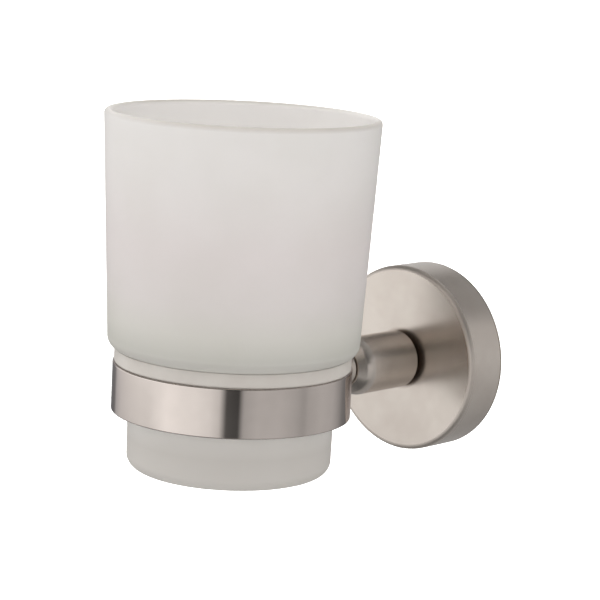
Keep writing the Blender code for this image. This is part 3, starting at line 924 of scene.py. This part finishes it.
# Bright zinc on drawn steel is colder and a little uneven. Its drawing lines are coarsened
# too, to 0.2 mm.
screw_steel = make_turned_metal(
    "zinc_plated_screw_steel", ("#B9BBBE", "#C9CBCD"), roughness=0.28, spread=0.05, grain=0.2 * mm,
    axis=off_the_wall, centre=(0, 0, 0),
)

# Soft polythene is waxy and off-white and lets some light in. The skins of these three
# mouldings are really about 0.1 mm in grain and are drawn coarser, so that they show.
liner_plastic = make_moulded("moulded_soft_polythene", ("#DBD4CC", "#E1DBD3"), 0.6 * mm, {
    "Roughness": 0.42, "IOR": 1.51, "Transmission Weight": 0.3,
})

# Raw die-cast zinc is a dull blue-grey metal with a mottled skin
cast_zinc = make_moulded("raw_die_cast_zinc", ("#929396", "#A0A1A4"), 0.5 * mm, {
    "Roughness": 0.5, "Metallic": 1.0,
})

# Grey nylon has a plain half-matte moulded skin
plug_nylon = make_moulded("moulded_grey_nylon", ("#A9ABAB", "#B8BABA"), 0.4 * mm, {
    "Roughness": 0.45, "IOR": 1.53,
})

make_tumbler(glass)
make_liner(liner_plastic)
make_ring(ring_steel)
make_neck(satin_steel)
make_arm(satin_steel)
make_rose(satin_steel)
make_clamp_screw(screw_steel)
make_set_screw(screw_steel)
make_bracket(cast_zinc)
for label, side in (("upper", 1), ("lower", -1)):
    wall_spot = arm_place @ Matrix.Translation((0, side * screw_offset, 0))
    make_wall_screw(label, wall_spot, screw_steel)
    make_wall_plug(label, wall_spot, plug_nylon)

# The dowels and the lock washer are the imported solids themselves
for node in ("arm_dowel", "neck_dowel", "lock_washer"):
    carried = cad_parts[node]
    carried.data.materials.clear()
    carried.data.materials.append(screw_steel)

# Camera at the photograph's viewing angle, its focal length in pixels of the picture
picture_width = 600
focal_length = 2260
camera_place = Vector((426.13, -515.47, 134.82)) * mm
aim = Vector((13.40, -72.85, 25.37)) * mm
lean = math.radians(2.88)
camera_data = bpy.data.cameras.new("camera")
camera_data.sensor_width = 36
camera_data.lens = focal_length / picture_width * camera_data.sensor_width
camera = bpy.data.objects.new("camera", camera_data)
bpy.context.scene.collection.objects.link(camera)
look = (aim - camera_place).to_track_quat("-Z", "Y").to_matrix().to_4x4()
camera.matrix_world = Matrix.Translation(camera_place) @ look @ Matrix.Rotation(lean, 4, "Z")
bpy.context.scene.camera = camera
bpy.context.scene.view_settings.view_transform = "Standard"

# Greatest brightness of the mirrored paper, and of the soft light by height and by direction
paper_top = 1.4
height_top = 5
direction_top = 1.6


def set_turn_stops(ramp, top, stops):
    """Brightness by direction in degrees: 0 is straight out from the wall, 90 is to the right."""
    set_stops(ramp, [((degrees + 180) / 360, value / top) for degrees, value in stops])


def set_rise_stops(ramp, top, stops):
    """Brightness by height in degrees: 0 is level, 90 is straight up."""
    set_stops(ramp, [((degrees + 90) / 180, value / top) for degrees, value in stops])


def mix_heights(tree, rise_share, forward, back_stops, front_stops):
    """A brightness by height, with one run of stops behind the holder and one in front."""
    sides = []
    for stops in (back_stops, front_stops):
        ramp = add(tree, "ShaderNodeValToRGB", {"Fac": rise_share})
        set_rise_stops(ramp, 1, stops)
        sides.append(ramp.outputs["Color"])
    return add(tree, "ShaderNodeMix", {0: forward, 6: sides[0], 7: sides[1]}, data_type="RGBA").outputs[2]


def make_mirrored_room(tree, axes, front, rise, turn_share, rise_share):
    """What metal mirrors: a band of paper all round at the holder's height, white in front
    and to the left, duller to the right and behind, with a dark gap where the camera looks
    through, and dim walls above and below. The lower left is darker still."""
    around = add(tree, "ShaderNodeValToRGB", {"Fac": turn_share})
    set_turn_stops(around, paper_top, (
        (-180, 0.26), (-160, 0.26), (-150, 0.58), (-140, 0.64), (-122, 0.70), (-117, 0.36), (-104, 0.40),
        (-98, 0.98), (-88, 1.12), (-57, 1.20), (-28, 1.28), (-10, 1.24), (9, 1.13), (25, 1.01), (34, 0.80),
        (40.5, 0.04), (52, 0), (57, 0.48), (70, 0.61), (91, 0.61), (108, 0.53), (116, 0.44), (119, 0.44),
        (124, 0.53), (140, 0.60), (158, 0.56), (170, 0.42), (178, 0.27), (180, 0.26),
    ))
    forward = add(tree, "ShaderNodeMapRange", {"Value": front}, {"From Min": -0.2, "From Max": 0.2})
    forward = forward.outputs["Result"]
    band = mix_heights(
        tree, rise_share, forward,
        ((-50, 0), (-5, 1), (24, 1), (36, 0)),
        ((-50, 0), (-5, 1), (8, 1), (18, 0)),
    )
    walls = mix_heights(
        tree, rise_share, forward,
        ((-60, 0.36), (-40, 0.34), (35, 0.28), (50, 0.26)),
        ((-60, 0.08), (-46, 0.15), (-37, 0.42), (-20, 0.42), (25, 0.10)),
    )
    scaled = add(tree, "ShaderNodeVectorMath", {0: walls}, {"Scale": 1 / paper_top}, operation="SCALE")
    paper = add(tree, "ShaderNodeMix", {
        0: band, 6: scaled.outputs["Vector"], 7: around.outputs["Color"],
    }, data_type="RGBA").outputs[2]
    low = add(tree, "ShaderNodeMapRange", {"Value": rise}, {
        "From Min": math.radians(-11), "From Max": math.radians(-15), "To Max": 0.5,
    }).outputs["Result"]
    left = add(tree, "ShaderNodeMapRange", {"Value": axes.outputs["X"]}, {
        "From Min": -0.3, "From Max": -0.6,
    }).outputs["Result"]
    loss = add(tree, "ShaderNodeMath", {0: low, 1: left}, operation="MULTIPLY")
    rest = add(tree, "ShaderNodeMath", {1: loss.outputs["Value"]}, {0: paper_top}, operation="SUBTRACT")
    return add(tree, "ShaderNodeVectorMath", {
        0: paper, "Scale": rest.outputs["Value"],
    }, operation="SCALE").outputs["Vector"]


def make_soft_room(tree, turn_share, rise_share):
    """The soft light on matte surfaces: strongest from above, from the front left and from the
    right, and weak from behind and from where the camera stands."""
    soft = add(tree, "ShaderNodeValToRGB", {"Fac": rise_share})
    set_rise_stops(soft, height_top, ((-60, 1.4), (-10, 0.94), (20, 0.98), (50, 1.7), (75, 5)))
    side = add(tree, "ShaderNodeValToRGB", {"Fac": turn_share})
    set_turn_stops(side, direction_top, (
        (-180, 0.12), (-130, 0.32), (-75, 0.56), (-30, 1.38), (5, 1.25), (38, 0.48), (68, 0.5), (95, 1.4),
        (118, 1.6), (140, 0.45), (180, 0.12),
    ))
    even = add(tree, "ShaderNodeVectorMath", {
        0: soft.outputs["Color"], 1: side.outputs["Color"],
    }, operation="MULTIPLY")
    room = add(
        tree, "ShaderNodeVectorMath", {0: even.outputs["Vector"]}, {"Scale": height_top * direction_top},
        operation="SCALE",
    )
    return room.outputs["Vector"]


def make_studio():
    """Plain white where the camera looks past the holder, soft light on matte surfaces, and a
    paper band for metal to mirror."""
    world = bpy.data.worlds.new("studio")
    world.use_nodes = True
    bpy.context.scene.world = world
    tree = world.node_tree
    tree.nodes.clear()
    ray = add(tree, "ShaderNodeTexCoord")
    axes = add(tree, "ShaderNodeSeparateXYZ", {"Vector": ray.outputs["Generated"]})
    front = add(tree, "ShaderNodeMath", {0: axes.outputs["Y"]}, {1: -1.0}, operation="MULTIPLY")
    front = front.outputs["Value"]
    turn = add(tree, "ShaderNodeMath", {0: axes.outputs["X"], 1: front}, operation="ARCTAN2")
    turn_share = add(tree, "ShaderNodeMapRange", {"Value": turn.outputs["Value"]}, {
        "From Min": -math.pi, "From Max": math.pi,
    }).outputs["Result"]
    rise = add(tree, "ShaderNodeMath", {0: axes.outputs["Z"]}, operation="ARCSINE").outputs["Value"]
    rise_share = add(tree, "ShaderNodeMapRange", {"Value": rise}, {
        "From Min": -math.pi / 2, "From Max": math.pi / 2,
    }).outputs["Result"]
    mirrored = make_mirrored_room(tree, axes, front, rise, turn_share, rise_share)
    room = make_soft_room(tree, turn_share, rise_share)
    path = add(tree, "ShaderNodeLightPath")
    lit = add(tree, "ShaderNodeMix", {
        0: path.outputs["Is Glossy Ray"], 6: room, 7: mirrored,
    }, data_type="RGBA")
    seen = add(tree, "ShaderNodeMix", {0: path.outputs["Is Camera Ray"], 6: lit.outputs[2]}, {
        7: (1, 1, 1, 1),
    }, data_type="RGBA")
    sky = add(tree, "ShaderNodeBackground", {"Color": seen.outputs[2]})
    add(tree, "ShaderNodeOutputWorld", {"Surface": sky.outputs["Background"]})


def make_floor():
    """Pale floor well below the holder. Only the camera sees it, so the metal mirrors the
    studio, and it is clear from below, so that it never hides the holder."""
    floor_radius = 9
    floor_height = -150 * mm
    floor_shape = bmesh.new()
    bmesh.ops.create_circle(floor_shape, cap_ends=True, segments=96, radius=floor_radius)
    bmesh.ops.translate(floor_shape, vec=(0, 0, floor_height), verts=floor_shape.verts[:])
    floor_mesh = bpy.data.meshes.new("floor")
    floor_shape.to_mesh(floor_mesh)
    floor_shape.free()
    floor = bpy.data.objects.new("floor", floor_mesh)
    bpy.context.scene.collection.objects.link(floor)
    paint, tree, shader = start_material("matte_white_floor_paint", {
        "Base Color": tone("#F4F4F2"), "Roughness": 0.9,
        "Emission Color": (1, 1, 1, 1), "Emission Strength": 0.6,
    })
    facing = add(tree, "ShaderNodeNewGeometry")
    clear = add(tree, "ShaderNodeBsdfTransparent")
    one_sided = add(tree, "ShaderNodeMixShader", {
        0: facing.outputs["Backfacing"], 1: shader.outputs["BSDF"], 2: clear.outputs["BSDF"],
    })
    tree.links.new(one_sided.outputs["Shader"], tree.nodes["Material Output"].inputs["Surface"])
    floor_mesh.materials.append(paint)
    floor.visible_diffuse = False
    floor.visible_glossy = False
    floor.visible_transmission = False
    floor.visible_shadow = False


make_studio()
make_floor()
